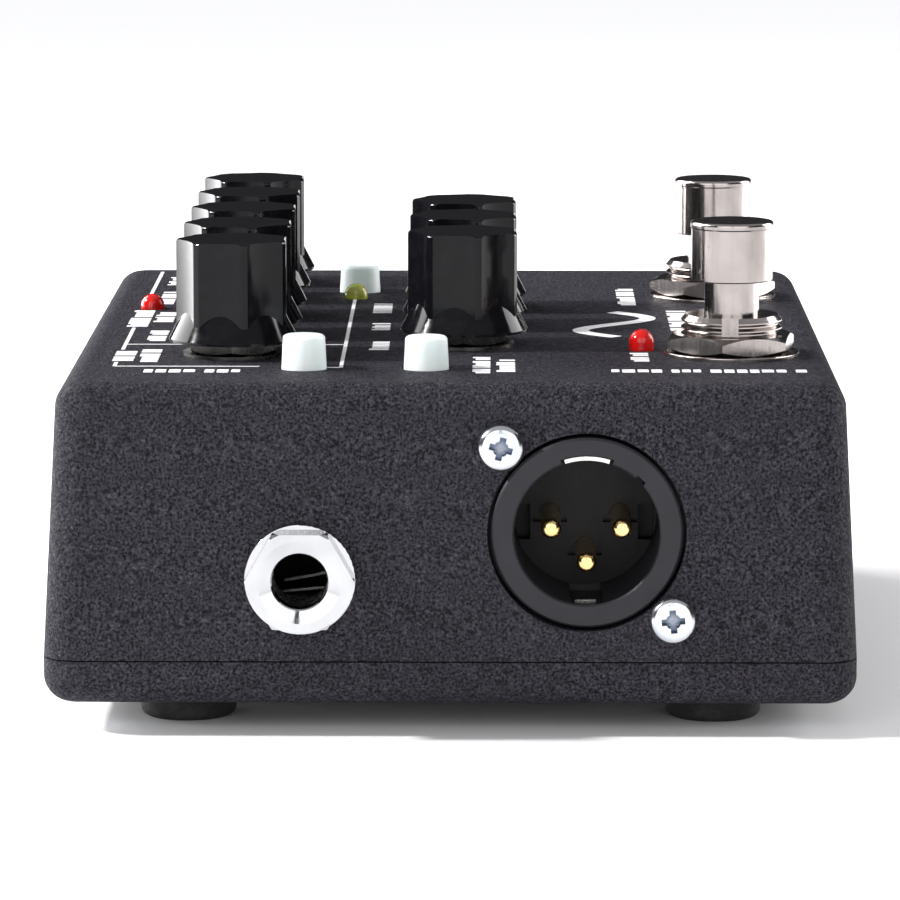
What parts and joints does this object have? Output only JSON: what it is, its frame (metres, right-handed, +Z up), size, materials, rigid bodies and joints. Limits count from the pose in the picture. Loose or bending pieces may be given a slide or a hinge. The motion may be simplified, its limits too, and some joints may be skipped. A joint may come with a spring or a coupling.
{
  "type": "direct injection box",
  "caption": "Low die-cast effects case with rotary controls, lamps and footswitches on top, and an XLR socket beside a jack at one end.",
  "frame": {"origin": "centre of the footprint, on the floor under the rubber feet", "axes": "+Z up, -Y out of the output face with the three-pole socket, +X towards the footswitch side"},
  "size_m": [0.094, 0.124, 0.0567],
  "materials": {
    "powder_coat": "matte",
    "satin_black_metal": "satin",
    "knob_plastic": "gloss",
    "black_plastic": "matte",
    "button_plastic": "satin",
    "red_lens": "gloss",
    "green_lens": "gloss",
    "nickel": "polished",
    "chrome": "polished",
    "zinc_screw": "satin",
    "dark_nickel": "satin",
    "aluminium_shaft": "satin",
    "gold_contact": "polished",
    "spring_contact": "satin",
    "solder_tail": "satin",
    "circuit_board": "satin",
    "ribbon_grey": "matte",
    "battery_can": "gloss",
    "foot_rubber": "matte"
  },
  "bodies": {
    "case": {"upper_housing": "powder_coat", "base_plate": "powder_coat", "base_screws": "zinc_screw", "rubber_feet": "foot_rubber", "main_board": "circuit_board", "jack_boards": "circuit_board", "ribbon_cables": "ribbon_grey", "pot_cases": "black_plastic", "pot_bushings": "dark_nickel", "pot_washers": "dark_nickel", "pot_nuts": "dark_nickel", "footswitch_bodies": "black_plastic", "footswitch_bushings": "nickel", "footswitch_washers": "nickel", "footswitch_nuts": "nickel", "footswitch_lugs": "solder_tail", "switch_cases": "black_plastic", "red_lamps": "red_lens", "green_lamp": "green_lens", "lamp_leads": "solder_tail", "xlr_shell": "satin_black_metal", "xlr_pin_carrier": "black_plastic", "xlr_pins": "gold_contact", "xlr_ground_springs": "spring_contact", "xlr_screws": "zinc_screw", "jack_ferrules": "chrome", "jack_washers": "chrome", "jack_cases": "black_plastic", "jack_contacts": "spring_contact", "dc_jack_case": "black_plastic", "dc_jack_pin": "spring_contact", "battery": "battery_can", "battery_snap": "black_plastic", "battery_leads": "black_plastic"},
    "left_control_1": {"left_knob_1": "knob_plastic", "left_pot_shaft_1": "aluminium_shaft"},
    "left_control_2": {"left_knob_2": "knob_plastic", "left_pot_shaft_2": "aluminium_shaft"},
    "left_control_3": {"left_knob_3": "knob_plastic", "left_pot_shaft_3": "aluminium_shaft"},
    "left_control_4": {"left_knob_4": "knob_plastic", "left_pot_shaft_4": "aluminium_shaft"},
    "left_control_5": {"left_knob_5": "knob_plastic", "left_pot_shaft_5": "aluminium_shaft"},
    "middle_control_1": {"middle_knob_1": "knob_plastic", "middle_pot_shaft_1": "aluminium_shaft"},
    "middle_control_2": {"middle_knob_2": "knob_plastic", "middle_pot_shaft_2": "aluminium_shaft"},
    "middle_control_3": {"middle_knob_3": "knob_plastic", "middle_pot_shaft_3": "aluminium_shaft"},
    "near_footswitch": {"near_footswitch_cap": "nickel", "near_footswitch_plunger": "nickel"},
    "far_footswitch": {"far_footswitch_cap": "nickel", "far_footswitch_plunger": "nickel"},
    "button_1": {"button_cap_1": "button_plastic", "button_stem_1": "black_plastic"},
    "button_2": {"button_cap_2": "button_plastic", "button_stem_2": "black_plastic"},
    "button_3": {"button_cap_3": "button_plastic", "button_stem_3": "black_plastic"}
  },
  "joints": [
    {"name": "left_control_1_turn", "type": "hinge", "parent": "case", "child": "left_control_1", "pos_m": [-0.026, -0.0312, 0.0484], "axis": [0, 0, 1], "range_deg": [-280, 0]},
    {"name": "left_control_2_turn", "type": "hinge", "parent": "case", "child": "left_control_2", "pos_m": [-0.0261, -0.0128, 0.0484], "axis": [0, 0, 1], "range_deg": [-280, 0]},
    {"name": "left_control_3_turn", "type": "hinge", "parent": "case", "child": "left_control_3", "pos_m": [-0.0262, 0.0056, 0.0484], "axis": [0, 0, 1], "range_deg": [-280, 0]},
    {"name": "left_control_4_turn", "type": "hinge", "parent": "case", "child": "left_control_4", "pos_m": [-0.0263, 0.024, 0.0484], "axis": [0, 0, 1], "range_deg": [-280, 0]},
    {"name": "left_control_5_turn", "type": "hinge", "parent": "case", "child": "left_control_5", "pos_m": [-0.0264, 0.0424, 0.0484], "axis": [0, 0, 1], "range_deg": [-280, 0]},
    {"name": "middle_control_1_turn", "type": "hinge", "parent": "case", "child": "middle_control_1", "pos_m": [0.0014, -0.022, 0.0484], "axis": [0, 0, 1], "range_deg": [-280, 0]},
    {"name": "middle_control_2_turn", "type": "hinge", "parent": "case", "child": "middle_control_2", "pos_m": [0.0014, -0.0036, 0.0484], "axis": [0, 0, 1], "range_deg": [-280, 0]},
    {"name": "middle_control_3_turn", "type": "hinge", "parent": "case", "child": "middle_control_3", "pos_m": [0.0014, 0.0148, 0.0484], "axis": [0, 0, 1], "range_deg": [-280, 0]},
    {"name": "near_footswitch_press", "type": "slide", "parent": "case", "child": "near_footswitch", "axis": [0, 0, -1], "range_m": [0, 0.0025], "stiffness_N_per_m": 4000, "springref_m": -0.0015},
    {"name": "far_footswitch_press", "type": "slide", "parent": "case", "child": "far_footswitch", "axis": [0, 0, -1], "range_m": [0, 0.0019], "stiffness_N_per_m": 4000, "springref_m": -0.0015},
    {"name": "button_1_press", "type": "slide", "parent": "case", "child": "button_1", "axis": [0, 0, -1], "range_m": [0, 0.0015], "stiffness_N_per_m": 1500, "springref_m": -0.001},
    {"name": "button_2_press", "type": "slide", "parent": "case", "child": "button_2", "axis": [0, 0, -1], "range_m": [0, 0.0015], "stiffness_N_per_m": 1500, "springref_m": -0.001},
    {"name": "button_3_press", "type": "slide", "parent": "case", "child": "button_3", "axis": [0, 0, -1], "range_m": [0, 0.0015], "stiffness_N_per_m": 1500, "springref_m": -0.001}
  ]
}
